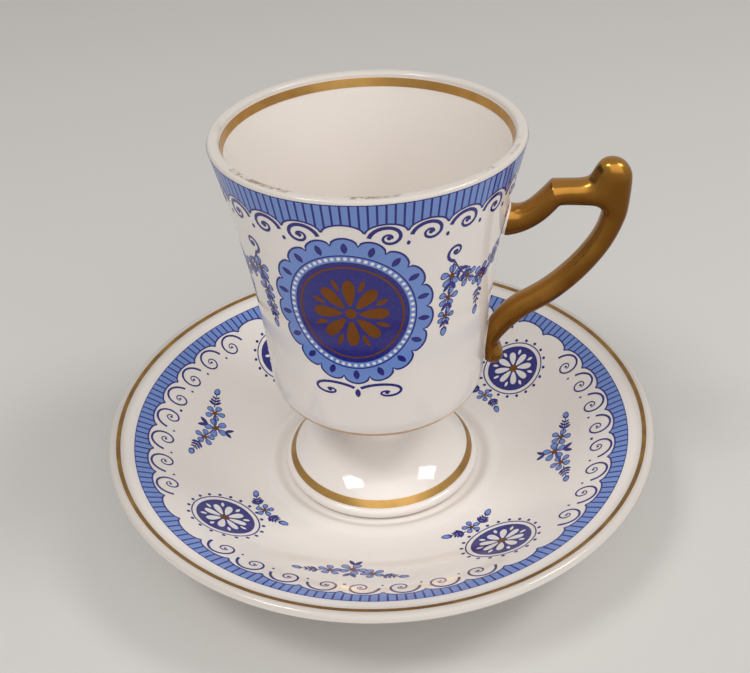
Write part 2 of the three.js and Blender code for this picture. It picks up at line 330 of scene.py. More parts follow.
def arc(centre, radius, start, end):
    turns = [start + (end - start) * i / ARC_STEPS for i in range(ARC_STEPS + 1)]
    return [centre + radius * Vector((math.cos(turn), math.sin(turn))) for turn in turns]


def sweep(first, second, third, fourth):
    """A cubic curve from its first point to its fourth."""
    points = []
    for i in range(SWEEP_STEPS + 1):
        t = i / SWEEP_STEPS
        s = 1 - t
        points.append(s**3 * first + 3 * s * s * t * second + 3 * s * t * t * third + t**3 * fourth)
    return points


def ramp(start, end):
    """A soft step from one point to another."""
    points = []
    for i in range(ARC_STEPS + 1):
        t = i / ARC_STEPS
        eased = t * t * (3 - 2 * t)
        points.append(start + Vector(((end.x - start.x) * t, (end.y - start.y) * eased)))
    return points


def saucer_runs(saucer):
    """Underside, lip and dish of the saucer."""
    slope = saucer.rim_slope
    lip_centre = Vector((saucer.radius - saucer.lip_radius, saucer.height - saucer.lip_radius))
    lip = arc(lip_centre, saucer.lip_radius, slope - QUARTER_TURN, slope + QUARTER_TURN)
    start = saucer.bead_radius + saucer.bead_width / 2
    floor = saucer.ring_height + saucer.wall + saucer.dish_step
    span = lip[-1].x - start
    floor_bend = start + span * saucer.dish_bend
    rim_bend = lip[-1] - span * saucer.rim_bend * Vector((math.cos(slope), math.sin(slope)))
    dish = sweep(lip[-1], rim_bend, Vector((floor_bend, floor)), Vector((start, floor)))
    below = sweep(
        Vector((start, saucer.ring_height)),
        Vector((floor_bend, saucer.ring_height)),
        rim_bend - Vector((0, saucer.wall)),
        lip[0],
    )
    return below, lip, dish


def saucer_profile(saucer):
    below, lip, dish = saucer_runs(saucer)
    edge = saucer.ring_edge
    outer = saucer.ring_radius
    inner = outer - saucer.ring_width
    well = saucer.ring_height + saucer.wall
    crest = Vector((saucer.bead_radius, well + saucer.bead_height))
    groove = Vector((saucer.bead_radius - saucer.bead_width / 2, well))
    bead = ramp(dish[-1], crest) + ramp(crest, groove)[1:]
    return [
        Vector((0, saucer.ring_height)),
        Vector((inner - edge, saucer.ring_height)),
        *arc(Vector((inner - edge, saucer.ring_height - edge)), edge, QUARTER_TURN, 0.0)[1:],
        *arc(Vector((inner + edge, edge)), edge, HALF_TURN, 3 * QUARTER_TURN),
        *arc(Vector((outer - edge, edge)), edge, -QUARTER_TURN, 0.0),
        *[point for point in below if point.x > outer][:-1],
        *lip,
        *dish[1:],
        *bead[1:],
        Vector((0, well)),
    ]


def wall_radius(bowl, height):
    """Outer radius of the flared wall, which dips inwards between its ends."""
    bottom = bowl.base + bowl.corner_radius
    top = bowl.rim - bowl.lip_edge
    rise = (height - bottom) / (top - bottom)
    straight = bowl.lower_radius + (bowl.mouth_radius - bowl.lower_radius) * rise
    return straight - 4 * bowl.dip * rise * (1 - rise)


def wall_run(bowl, start, end, inset):
    heights = [start + (end - start) * i / WALL_STEPS for i in range(WALL_STEPS + 1)]
    return [Vector((wall_radius(bowl, height) - inset, height)) for height in heights]


def bowl_runs(bowl):
    """Bottom corner, outer wall, lip, inner wall and inner corner of the bowl."""
    corner_centre = Vector((bowl.lower_radius - bowl.corner_radius, bowl.base + bowl.corner_radius))
    edge = bowl.lip_edge
    lip_base = bowl.rim - edge
    outer_edge = Vector((bowl.mouth_radius - edge, lip_base))
    inner_edge = Vector((bowl.mouth_radius - bowl.wall + edge, lip_base))
    inner_top = bowl.base + bowl.floor + bowl.inner_corner
    inner_centre = Vector((wall_radius(bowl, inner_top) - bowl.wall - bowl.inner_corner, inner_top))
    corner = arc(corner_centre, bowl.corner_radius, -QUARTER_TURN, 0.0)
    outer = wall_run(bowl, corner_centre.y, lip_base, 0.0)
    lip = arc(outer_edge, edge, 0.0, QUARTER_TURN) + arc(inner_edge, edge, QUARTER_TURN, HALF_TURN)
    inner = wall_run(bowl, lip_base, inner_top, bowl.wall)
    inner_corner = arc(inner_centre, bowl.inner_corner, 0.0, -QUARTER_TURN)
    return corner, outer, lip, inner, inner_corner


def bowl_profile(bowl):
    corner, outer, lip, inner, inner_corner = bowl_runs(bowl)
    return [
        Vector((0, bowl.base)),
        *corner,
        *outer[1:],
        *lip[1:],
        *inner[1:],
        *inner_corner[1:],
        Vector((0, bowl.base + bowl.floor)),
    ]


def foot_dome(foot):
    edge = Vector((foot.radius - foot.edge_radius, foot.base + 2 * foot.edge_radius))
    neck = Vector((foot.neck_radius, foot.base + foot.neck_height))
    shoulder = edge + Vector((-foot.shoulder_reach, foot.shoulder_rise))
    return sweep(edge, shoulder, neck - Vector((0, foot.neck_bend)), neck)


def foot_profile(foot, bowl):
    """The foot's neck runs a little way into the bowl, so that no seam shows there."""
    edge_centre = Vector((foot.radius - foot.edge_radius, foot.base + foot.edge_radius))
    hollow_radius = edge_centre.x - foot.ring_width
    hollow = [
        Vector((point.x * hollow_radius, foot.base + point.y * foot.hollow))
        for point in arc(Vector((0, 0)), 1.0, QUARTER_TURN, 0.0)
    ]
    fillet_centre = Vector((foot.neck_radius + foot.neck_fillet, bowl.base - foot.neck_fillet))
    top = bowl.base + bowl.floor / 2
    return [
        Vector((0, hollow[0].y)),
        *hollow[1:],
        *arc(edge_centre, foot.edge_radius, -QUARTER_TURN, QUARTER_TURN),
        *foot_dome(foot)[1:],
        *arc(fillet_centre, foot.neck_fillet, HALF_TURN, QUARTER_TURN),
        Vector((fillet_centre.x, top)),
        Vector((0, top)),
    ]


class Surface:
    """A turned face, read by the distance along its profile from a point where it is zero."""

    def __init__(self, points, zero=None):
        self.points = points
        self.marks = [0.0]
        for here, there in zip(points, points[1:]):
            self.marks.append(self.marks[-1] + (there - here).length)
        self.zero = 0.0 if zero is None else self.marks[zero]

    def at(self, distance, lift=0.0):
        """Radius and height at a distance, lifted off the face."""
        mark = distance + self.zero
        i = min(max(bisect.bisect_right(self.marks, mark) - 1, 0), len(self.points) - 2)
        along = (self.points[i + 1] - self.points[i]).normalized()
        spot = self.points[i] + along * (mark - self.marks[i])
        return spot + Vector((along.y, -along.x)) * lift

    def distance_to(self, radius):
        """Distance at which the face first passes a radius."""
        for i, (here, there) in enumerate(zip(self.points, self.points[1:])):
            if min(here.x, there.x) <= radius <= max(here.x, there.x):
                part = (radius - here.x) / (there.x - here.x)
                return self.marks[i] + part * (there - here).length - self.zero
        raise ValueError(f"the face has no radius of {radius}")


def wall_surface(bowl):
    """The bowl's outer wall, with its zero where the lip starts."""
    corner, outer, lip, _, _ = bowl_runs(bowl)
    points = [*corner, *outer[1:], *lip[1:]]
    return Surface(points, len(corner) + len(outer) - 2)


def dish_surface(saucer, radius):
    """The saucer's dish, with its zero at a radius."""
    surface = Surface(saucer_runs(saucer)[2])
    surface.zero = surface.distance_to(radius)
    return surface


# Modelling

def deselect_all():
    if bpy.context.mode != "OBJECT":
        bpy.ops.object.mode_set(mode="OBJECT")
    bpy.ops.object.select_all(action="DESELECT")


def name_piece(piece, name):
    piece.name = name
    piece.data.name = name
    return piece


def clean_mesh():
    """Closes seams and poles and turns the faces out, in edit mode."""
    bpy.ops.mesh.select_all(action="SELECT")
    bpy.ops.mesh.remove_doubles(threshold=MERGE_DISTANCE)
    bpy.ops.mesh.normals_make_consistent(inside=False)


def spin_profile(name, profile):
    """Draws a profile by extruding a point from corner to corner, and spins it round the axis."""
    deselect_all()
    bpy.ops.mesh.primitive_plane_add(size=MM)
    piece = name_piece(bpy.context.object, name)
    bpy.ops.object.mode_set(mode="EDIT")
    bpy.ops.mesh.merge(type="CENTER")
    there = Vector((profile[0].x, 0, profile[0].y))
    bpy.ops.transform.translate(value=there)
    for point in profile[1:]:
        here = there
        there = Vector((point.x, 0, point.y))
        bpy.ops.mesh.extrude_vertices_move(TRANSFORM_OT_translate={"value": there - here})
    bpy.ops.mesh.select_all(action="SELECT")
    bpy.ops.mesh.spin(steps=TURNED_SEGMENTS, angle=TAU, center=(0, 0, 0), axis=(0, 0, 1))
    clean_mesh()
    bpy.ops.object.mode_set(mode="OBJECT")
    bpy.ops.object.shade_smooth_by_angle(angle=SMOOTH_ANGLE)
    return piece


def spin_band(name, surface, start, width):
    """A thin gilded band on a turned face."""
    distances = [start + width * i / BAND_STEPS for i in range(BAND_STEPS + 1)]
    outside = [surface.at(distance, LIFTS["gold"]) for distance in distances]
    inside = [surface.at(distance, -SINK) for distance in reversed(distances)]
    return spin_profile(name, [*outside, *inside, outside[0]])


def dress(piece, material, body, slot, *nodes):
    """Gives a finished piece its material and its body, and hides the parts of the frame that it stands
    for.
    """
    piece.data.materials.clear()
    piece.data.materials.append(material)
    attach(piece, body)
    if nodes:
        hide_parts(*nodes)


# Handle

class Section:
    """A four-cornered section of the handle's cage, between two points of the handle's plane."""

    def __init__(self, first, second, width, ridge=0.0):
        self.centre = (first + second) / 2
        self.side = (first - second) / 2
        self.half_width = Vector((0, width / 2 / CAGE_SHARE, 0))
        self.ridge = ridge

    def corner(self, on_first, in_front):
        along = self.side if on_first else -self.side
        aside = -self.half_width if in_front else self.half_width
        return self.centre + along + aside


def across(radius, height, heading, thickness, width, ridge=0.0):
    """A section square to its heading."""
    centre = Vector((radius, 0, height))
    side = Vector((-math.sin(heading), 0, math.cos(heading))) * (thickness / 2 / CAGE_SHARE)
    return Section(centre + side, centre - side, width, ridge)


def extrude_sections(piece, face_centre, sections, soft_end):
    """Extrudes the face nearest to a point through a run of sections.

    Edges along the bar are firm, except in a number of sections at its soft end.
    """
    mesh = bmesh.from_edit_mesh(piece.data)
    bpy.ops.mesh.select_all(action="DESELECT")
    face = min(mesh.faces, key=lambda other: (other.calc_center_median() - face_centre).length)
    face.select_set(True)
    bmesh.update_edit_mesh(piece.data)
    last = face.calc_center_median()
    for i, section in enumerate(sections):
        bpy.ops.mesh.extrude_region_move()
        mesh = bmesh.from_edit_mesh(piece.data)
        layers = mesh.edges.layers.float
        crease = layers.get("crease_edge") or layers.new("crease_edge")
        along_bar = BAR_CREASE if i < len(sections) - soft_end else 0.0
        corners = [vertex for vertex in mesh.verts if vertex.select]
        on_first = [(vertex.co - last).dot(section.side) > 0 for vertex in corners]
        for vertex, first in zip(corners, on_first):
            vertex.co = section.corner(first, vertex.co.y < 0)
            for edge in vertex.link_edges:
                edge[crease] = section.ridge if edge.other_vert(vertex).select else along_bar
        bmesh.update_edit_mesh(piece.data)
        last = section.centre


def handle_cage(handle, bowl):
    """Sections of the block where arm, strap and horn meet, and of each of the three from there.

    Their places are in millimetres: inwards from the outer edge and up from the arm's middle, out
    and up from the upper root, or by height and out from the wall. A swell is a share of the width.
    """
    width = handle.width
    arm_thickness = handle.arm_thickness
    strap_thickness = handle.strap_thickness
    root_thickness = handle.root_thickness
    root_radius = wall_radius(bowl, handle.root_height)
    outer = handle.outer_radius / MM
    middle = handle.arm_height / MM
    half_arm = arm_thickness / MM / 2 / CAGE_SHARE
    tip = handle.top / MM - middle
    inwards = HALF_TURN
    down = -QUARTER_TURN

    def spot(inset, rise):
        return Vector(((outer - inset) * MM, 0, (middle + rise) * MM))

    def from_edge(inset, rise, heading, thickness, swell=1.0, ridge=0.0):
        place = spot(inset, rise)
        return across(place.x, place.z, heading, thickness, swell * width, ridge)

    def from_root(proud, rise, heading, thickness, swell=1.0):
        height = handle.root_height + rise * MM
        return across(root_radius + proud * MM, height, heading, thickness, swell * width)

    def from_wall(level, proud, heading, thickness, swell=1.0):
        height = level * MM
        radius = wall_radius(bowl, height) + proud * MM
        return across(radius, height, heading, thickness, swell * width)

    block_top = Section(spot(7.6, half_arm + 0.4), spot(-0.95, half_arm + 0.3), 1.04 * width)
    block_bottom = Section(spot(4.75, -half_arm), spot(-0.75, -half_arm - 0.2), width)
    # Beside the block, the middle, the knuckle, down to the root, and on into the wall
    arm = [
        Section(spot(6.9, -half_arm), spot(9.6, half_arm + 0.1), width),
        from_edge(11.6, 0.0, inwards, arm_thickness),
        from_edge(13.3, -0.2, inwards + 0.4, 1.08 * arm_thickness, 1.1, KNUCKLE_CREASE),
        from_root(6.0, 2.15, inwards + 0.74, 4.8 * MM),
        from_root(3.0, 0.25, inwards + 0.25, 5.4 * MM),
        from_root(0.7, 0.0, inwards, root_thickness, 1.08),
        from_root(-1.0, 0.0, inwards, 1.1 * root_thickness, 1.18),
    ]
    # Below the block and down its slope, then along the wall, and out from it to the curled tail
    strap = [
        from_edge(2.25, -5.0, down - 0.13, strap_thickness),
        from_edge(3.85, -10.2, down - 0.43, 0.97 * strap_thickness),
        from_edge(8.55, -17.3, down - 0.72, strap_thickness),
        from_edge(14.55, -23.3, down - 0.82, strap_thickness),
        from_wall(49.2, 5.9, down - 0.74, 4.9 * MM),
        from_wall(44.4, 2.3, down - 0.4, 4.9 * MM),
        from_wall(40.6, 1.0, down - 0.05, 3.5 * MM, 0.95),
        from_wall(38.6, 1.3, down + 0.3, 3.9 * MM, 0.95),
        from_wall(36.5, 2.0, down + 0.2, 4.7 * MM),
        from_wall(handle.bottom / MM + 0.3, 2.1, down, 3.2 * MM, 0.7),
    ]
    # The horn's shoulder and its tip
    horn = [
        Section(spot(6.8, tip - 2.9), spot(-0.75, tip - 3.4), 1.04 * width),
        Section(spot(5.1, tip - 0.5), spot(1.2, tip - 0.75), 0.72 * width),
    ]
    return block_top, block_bottom, arm, strap, horn


def model_handle(handle, bowl):
    """Starts from the block where arm, strap and horn meet, and extrudes each of them from it."""
    block_top, block_bottom, arm, strap, horn = handle_cage(handle, bowl)
    middle = (block_top.centre + block_bottom.centre) / 2
    deselect_all()
    bpy.ops.mesh.primitive_cube_add(size=handle.width, location=middle)
    bpy.ops.object.transform_apply(location=True, rotation=False, scale=False)
    piece = name_piece(bpy.context.object, "gilded_handle")
    for vertex in piece.data.vertices:
        section = block_top if vertex.co.z > middle.z else block_bottom
        vertex.co = section.corner(vertex.co.x < middle.x, vertex.co.y < 0)
    bpy.ops.object.mode_set(mode="EDIT")
    arm_face = (block_top.corner(True, True) + block_bottom.corner(True, False)) / 2
    extrude_sections(piece, arm_face, arm, soft_end=0)
    extrude_sections(piece, block_bottom.centre, strap, soft_end=3)
    extrude_sections(piece, block_top.centre, horn, soft_end=2)
    clean_mesh()
    bpy.ops.object.mode_set(mode="OBJECT")
    rounding = piece.modifiers.new("rounding", "SUBSURF")
    rounding.levels = ROUNDING_LEVELS
    rounding.render_levels = ROUNDING_LEVELS
    bpy.ops.object.modifier_apply(modifier=rounding.name)
    bpy.ops.object.shade_smooth()
    return piece


# Print, drawn flat in millimetres: x runs round the piece and y along its profile

drawn = []


def keep_sheet(sheet):
    drawn.append(sheet)
    return sheet


def clear_drawings():
    """Takes away the flat drawings once the print is laid."""
    for sheet in drawn:
        bpy.data.meshes.remove(sheet)
    drawn.clear()


def take_sheet():
    """Keeps the mesh of a flat drawing, and takes its object away."""
    drawing = bpy.context.object
    sheet = drawing.data
    bpy.data.objects.remove(drawing)
    return keep_sheet(sheet)


def fill(edge, sides=20, rings=1):
    """A filled shape: a disc, inset into rings and drawn out to an edge.

    The edge gives a point for each part of a turn.
    """
    deselect_all()
    bpy.ops.mesh.primitive_circle_add(vertices=sides, radius=1.0, fill_type="NGON")
    bpy.ops.object.mode_set(mode="EDIT")
    for _ in range(rings):
        bpy.ops.mesh.inset(thickness=1.0 / (rings + 1))
    bpy.ops.mesh.poke()
    bpy.ops.object.mode_set(mode="OBJECT")
    middle = (edge(0.0) + edge(0.5)) / 2
    for vertex in bpy.context.object.data.vertices:
        turn = math.atan2(vertex.co.y, vertex.co.x) / TAU % 1.0
        vertex.co.xy = (middle + (edge(turn) - middle) * vertex.co.xy.length) * MM
    return take_sheet()


def patch(place, columns, rows):
    """A grid whose points are put in place by their parts of its width and its height."""
    deselect_all()
    bpy.ops.mesh.primitive_grid_add(x_subdivisions=columns, y_subdivisions=rows, size=1.0)
    for vertex in bpy.context.object.data.vertices:
        vertex.co.xy = place(vertex.co.x + 0.5, vertex.co.y + 0.5) * MM
    bpy.ops.object.mode_set(mode="EDIT")
    bpy.ops.mesh.select_all(action="SELECT")
    bpy.ops.mesh.remove_doubles(threshold=MERGE_DISTANCE)
    bpy.ops.object.mode_set(mode="OBJECT")
    return take_sheet()


def stroke(path, start_width, end_width=None, steps=24):
    """A line of ink along a path, which may narrow or widen towards its end."""
    end_width = start_width if end_width is None else end_width
    step = 0.001

    def place(along, aside):
        heading = (path(along + step) - path(along - step)).normalized()
        width = start_width + (end_width - start_width) * along
        return path(along) + Vector((-heading.y, heading.x)) * (aside - 0.5) * width

    return patch(place, steps, 1)


def ellipse(width, height=None):
    tall = width if height is None else height
    return lambda turn: Vector((width / 2 * math.cos(TAU * turn), tall / 2 * math.sin(TAU * turn)))


def lobed(width, height, lobes, depth):
    """An oval edge scalloped into lobes."""

    def edge(turn):
        reach = 1 - depth * (1 - math.sqrt(abs(math.sin(lobes * HALF_TURN * turn))))
        return ellipse(width, height)(turn) * reach

    return edge


def leaf(long, wide):
    """A pointed leaf that stands on its stalk."""

    def edge(turn):
        side = math.cos(TAU * turn)
        pinched = math.copysign(abs(side) ** LEAF_POINT, side)
        return Vector((wide / 2 * pinched, long / 2 * (1 + math.sin(TAU * turn))))

    return edge


def petal(long, wide):
    """A petal that is broad at its tip."""

    def edge(turn):
        up = math.sin(TAU * turn)
        taper = 1 - PETAL_TAPER * (1 - up)
        return Vector((wide / 2 * math.cos(TAU * turn) * taper, long / 2 * (1 + up)))

    return edge


def curl(start_radius, end_radius, start, turns, squash=1.0):
    """A spiral that winds clockwise into its middle."""

    def path(part):
        radius = start_radius * (end_radius / start_radius) ** part
        turn = start - TAU * turns * part
        return Vector((radius * math.cos(turn), squash * radius * math.sin(turn)))

    return path


def bow(span, sag):
    """A line that hangs between two points on one level."""
    return lambda part: Vector(((part - 0.5) * span, -sag * (1 - (2 * part - 1) ** 2)))


def line(x0, y0, x1, y1):
    return lambda part: Vector((x0 + (x1 - x0) * part, y0 + (y1 - y0) * part))


def stamp(motif, x=0.0, y=0.0, turn=0.0, size=1.0, flip=False, stretch=1.0):
    """A motif, which has a sheet for each ink, with its place on the flat."""
    place = Matrix.Translation((x * MM, y * MM, 0)) @ Matrix.Rotation(turn, 4, "Z")
    return motif, place @ Matrix.Diagonal((-size if flip else size, size * stretch, 1.0, 1.0))


def ring_of(motif, number, reach, stretch=1.0, offset=0.0, outward=True):
    """Stamps of a motif set round an oval."""
    stamps = []
    for i in range(number):
        turn = TAU * (i + offset) / number
        x = reach * math.cos(turn)
        y = reach * stretch * math.sin(turn)
        stamps.append(stamp(motif, x, y, turn - QUARTER_TURN if outward else 0.0))
    return stamps


def compose(*stamps):
    """Joins stamped motifs into one. Each lies a hair above the last, so that no two faces coincide."""
    inks = {}
    for motif, place in stamps:
        for ink, sheet in motif.items():
            inks.setdefault(ink, []).append((sheet, place))
    joined = {}
    for ink, sheets in inks.items():
        made = bmesh.new()
        for i, (sheet, place) in enumerate(sheets):
            copy = sheet.copy()
            copy.transform(Matrix.Translation((0, 0, i % STAMP_LEVELS * STAMP_STEP)) @ place)
            if place.determinant() < 0:
                copy.flip_normals()
            made.from_mesh(copy)
            bpy.data.meshes.remove(copy)
        whole = bpy.data.meshes.new(ink)
        made.to_mesh(whole)
        made.free()
        joined[ink] = keep_sheet(whole)
    return joined


def turned_in(motif):
    """A motif drawn downwards, turned over for a face that is read inwards."""
    return compose(stamp(motif, turn=HALF_TURN))


def lay(name, surface, runs, reference=None):
    """Lays motifs on a turned face at their azimuths, and thickens them: one piece for each ink.

    With a reference radius, a motif keeps its angle along the profile, so that repeats of it meet.
    """
    made = {}
    for motif, azimuths in runs:
        for azimuth in azimuths:
            for ink, sheet in motif.items():
                copy = sheet.copy()
                for vertex in copy.vertices:
                    spot = surface.at(vertex.co.y, LIFTS[ink] + vertex.co.z)
                    turn = azimuth + vertex.co.x / (reference or spot.x)
                    vertex.co = (spot.x * math.cos(turn), spot.x * math.sin(turn), spot.y)
                made.setdefault(ink, bmesh.new()).from_mesh(copy)
                bpy.data.meshes.remove(copy)
    pieces = {}
    for ink, whole in made.items():
        mesh = bpy.data.meshes.new(f"{name}_{ink}")
        whole.to_mesh(mesh)
        whole.free()
        piece = bpy.data.objects.new(mesh.name, mesh)
        bpy.context.collection.objects.link(piece)
        deselect_all()
        piece.select_set(True)
        bpy.context.view_layer.objects.active = piece
        thickness = piece.modifiers.new("thickness", "SOLIDIFY")
        thickness.thickness = LIFTS[ink] + SINK
        thickness.offset = -1.0
        bpy.ops.object.modifier_apply(modifier=thickness.name)
        bpy.ops.object.shade_smooth_by_angle(angle=SMOOTH_ANGLE)
        pieces[ink] = piece
    return pieces


# Motifs of the print

def pen(path, start_width, end_width=None, steps=24):
    return {"cobalt": stroke(path, start_width, end_width, steps)}


def dot(ink, width, height=None, sides=12):
    return {ink: fill(ellipse(width, height), sides)}


def blade(ink, long, wide, sides=12):
    return {ink: fill(leaf(long, wide), sides)}


def flower(size):
    """Five pale petals with dark outlines, round a gold middle."""
    edge = petal(1.65 * size, 1.6 * size)
    one = compose(
        stamp({"sky": fill(edge, 14), "cobalt": stroke(edge, HAIR, steps=16)}),
        stamp(pen(line(0, 0.15 * size, 0, 0.8 * size), HAIR, HAIR / 3, 2)),
    )
    return compose(*ring_of(one, 5, 0.55 * size), stamp(dot("gold", 1.05 * size)))


def leaf_pair(long, spread_angle):
    one = blade("cobalt", long, 0.4 * long)
    return compose(stamp(one, turn=spread_angle), stamp(one, turn=-spread_angle))


def bud():
    edge = leaf(2.2, 1.3)
    return compose(
        stamp({"sky": fill(edge, 12), "cobalt": stroke(edge, HAIR, steps=14)}),
        stamp(leaf_pair(1.1, 0.7)),
    )


def spray(long):
    """A stem with pairs of leaves, and a bud at its tip."""
    pairs = [stamp(leaf_pair(1.9 - 0.35 * i, 0.85), 0, long * (0.18 + 0.25 * i)) for i in range(3)]
    return compose(
        stamp(pen(line(0, 0, 0, long), FINE, HAIR, 6)),
        *pairs,
        stamp(bud(), 0, long),
    )


def border_unit(pitch, shallow, deep, stripes):
    """A length of striped band whose lower edge has a round bite."""

    def depth(x):
        return deep - (deep - shallow) * math.sqrt(max(0.0, 1 - 0.97 * (2 * x / pitch) ** 2))

    def band(part, up):
        x = (part - 0.5) * pitch
        return Vector((x, (up - 1) * depth(x)))

    def lower_edge(part):
        x = (part - 0.5) * pitch
        return Vector((x, -depth(x)))

    def stripe(i):
        x = ((i + 0.5) / stripes - 0.5) * pitch
        return pen(line(x, 0, x, -depth(x)), FIRM, steps=4)

    return compose(
        stamp({"sky": patch(band, 14, 4), "cobalt": stroke(lower_edge, FIRM, steps=18)}),
        stamp(pen(line(-pitch / 2, -HAIR / 2, pitch / 2, -HAIR / 2), HAIR, steps=8)),
        *[stamp(stripe(i)) for i in range(stripes)],
    )


def border_scroll(pitch, shallow, weight, squash):
    """A running scroll that hangs in a bite of the border, with a dot beside it."""
    start_radius = 0.47 * pitch
    drop = shallow + 0.9 + 0.74 * start_radius * squash
    side = 0.06 * pitch
    path = curl(start_radius, 0.55, math.radians(176), 1.55, squash)
    return compose(
        stamp(pen(path, weight, 0.36 * weight, 48), side, -drop),
        stamp(dot("cobalt", 1.15 * weight), side, -drop),
        stamp(dot("cobalt", 0.9 * weight, 1.2 * weight, 10), 0.52 * pitch, -drop - 1.5),
    )


def border_motifs(pitch, shallow, deep, stripes, weight, squash):
    """A length of the border, its scroll, and the scroll that runs the other way."""
    unit = border_unit(pitch, shallow, deep, stripes)
    scroll = border_scroll(pitch, shallow, weight, squash)
    return unit, scroll, compose(stamp(scroll, flip=True))


def palmette(shallow):
    """Three leaves that hang in a bite of the border, where its scrolls part."""
    one = blade("cobalt", 2.6, 1.0)
    leaves = [stamp(one, 0, -shallow - 1.0, HALF_TURN + turn) for turn in (-0.7, 0.0, 0.7)]
    return compose(*leaves, stamp(dot("sky", 1.1), 0, -shallow - 4.6))


def rosette():
    """Eight broad petals and eight narrow ones round an eye."""
    return compose(
        *ring_of({"gold": fill(petal(5.2, 2.9), 20, 2)}, 8, 1.5),
        *ring_of(blade("gold", 2.6, 0.9), 8, 4.7, offset=0.5),
        stamp(dot("gold", 2.0, sides=16)),
    )


def rosette_oval():
    """A gold rosette on a dark oval, in a scalloped pale frame with pearls."""
    stretch = 1.13
    frame_edge = lobed(29.6, 29.6 * stretch, 18, 0.09)
    return compose(
        stamp({"sky": fill(frame_edge, 216, 12), "cobalt": stroke(frame_edge, FIRM, steps=216)}),
        stamp({"cobalt": fill(ellipse(20.6, 20.6 * stretch), 72, 9)}),
        stamp(pen(ellipse(23.0, 23.0 * stretch), FINE, steps=96)),
        *ring_of(blade("cobalt", 2.3, 1.2), 18, 11.9, stretch, 0.5),
        *ring_of(dot("white", 0.72, sides=10), 60, 10.9, stretch, outward=False),
        stamp({"gold": stroke(ellipse(18.4, 18.4 * stretch), FIRM, steps=84)}),
        stamp(rosette(), stretch=stretch),
    )


def medallion_scrolls():
    """A pair of scrolls that part below a medallion, with a leaf between them."""
    path = curl(5.6, 0.5, math.radians(155), 1.4, 0.5)
    one = compose(
        stamp(pen(path, BOLD, FINE, 44), 5.7, 0),
        stamp(dot("cobalt", 0.9), 5.7, 0),
    )
    return compose(
        stamp(one),
        stamp(one, flip=True),
        stamp(blade("cobalt", 2.2, 1.1), 0, 1.0, HALF_TURN),
    )


def cup_medallion(scale, scroll_drop):
    """The rosette's oval, with scrolls below it."""
    return compose(
        stamp(rosette_oval(), size=scale),
        stamp(medallion_scrolls(), 0, -scroll_drop),
    )


def flower_drop():
    """A string of three flowers that hangs straight down."""
    stamps = [stamp(pen(line(0, 0, 0, -15.0), FINE, HAIR, 16))]
    for height, size in ((-3.0, 1.15), (-8.0, 1.0), (-12.4, 0.85)):
        stamps.append(stamp(flower(size), 0, height, 0.3 * height))
        stamps.append(stamp(leaf_pair(2.1 * size, 0.6), 0, height - 1.2 * size, HALF_TURN))
    stamps.append(stamp(bud(), 0, -15.0, HALF_TURN))
    return compose(*stamps)


def festoon():
    """A swag of flowers between two curls, with a drop of flowers at its first end."""
    span = 17.0
    sag = 7.0
    path = bow(span, sag)
    stamps = [stamp(pen(path, FINE, steps=36))]
    for part, size in ((0.25, 1.0), (0.5, 1.2), (0.75, 1.0)):
        spot = path(part)
        stamps.append(stamp(flower(size), spot.x, spot.y, 2.0 * part))
    for part in (0.1, 0.17, 0.4, 0.6, 0.83, 0.9):
        spot = path(part)
        heading = path(part + 0.01) - path(part - 0.01)
        along = math.atan2(heading.y, heading.x)
        turn = along - QUARTER_TURN if part < 0.5 else along + QUARTER_TURN
        stamps.append(stamp(leaf_pair(2.2, 0.75), spot.x, spot.y, turn))
    tie = compose(
        stamp(pen(curl(2.2, 0.45, -QUARTER_TURN, 1.35), BOLD, FINE, 32), 0, 2.2),
        stamp(dot("cobalt", 0.85), 0, 2.2),
    )
    stamps.append(stamp(tie, -span / 2))
    stamps.append(stamp(tie, span / 2, flip=True))
    stamps.append(stamp(flower_drop(), -span / 2, -0.4))
    stamps.append(stamp(spray(5.0), 0, -sag - 2.4, HALF_TURN))
    return compose(*stamps)


def daisy_disc():
    """A white daisy on a dark disc, in a fine ring with dots."""
    return compose(
        stamp({"cobalt": fill(ellipse(12.8), 60, 6)}),
        stamp(pen(ellipse(14.8), FINE, steps=72)),
        *ring_of(dot("cobalt", 0.8, sides=10), 20, 8.2),
        *ring_of({"white": fill(petal(3.7, 2.05), 18)}, 8, 1.0),
        *ring_of(blade("white", 1.5, 0.75, 10), 8, 4.0, offset=0.5),
        stamp(dot("gold", 1.9, sides=16)),
    )


def saucer_medallion():
    """The daisy's disc, with a flower between two sprays on the cup's side of it."""
    sprig = spray(3.0)
    return compose(
        stamp(daisy_disc()),
        stamp(flower(0.9), 0, 10.2),
        stamp(sprig, -1.8, 9.8, 1.3),
        stamp(sprig, 1.8, 9.8, -1.3),
    )


def bouquet():
    """Three flowers with leaves and sprays."""
    side_flower = flower(1.1)
    sprig = spray(4.0)
    return compose(
        stamp(pen(bow(9.4, -2.0), FINE, steps=20), 0, -1.9),
        stamp(flower(1.3), 0, 0.6),
        stamp(side_flower, -4.3, -1.2, 0.5),
        stamp(side_flower, 4.3, -1.2, -0.5),
        stamp(sprig, -6.0, -2.1, 1.9),
        stamp(sprig, 6.0, -2.1, -1.9),
        stamp(leaf_pair(2.6, 0.5), 0, -1.5, HALF_TURN),
        stamp(leaf_pair(2.3, 0.6), 0, 2.9),
    )


# Finishes

def wire(tree, source, socket):
    """Links a socket to another one, or sets it to a value."""
    if isinstance(source, bpy.types.NodeSocket):
        tree.links.new(source, socket)
    else:
        socket.default_value = source


def feed(tree, shader, sources):
    """Feeds the sockets of a shader by their names."""
    for name, source in sources.items():
        wire(tree, source, shader.inputs[name])


def new_finish(name):
    material = bpy.data.materials.new(name)
    material.use_nodes = True
    return material, material.node_tree, material.node_tree.nodes["Principled BSDF"]


def place_in(tree):
    return tree.nodes.new("ShaderNodeTexCoord").outputs["Object"]


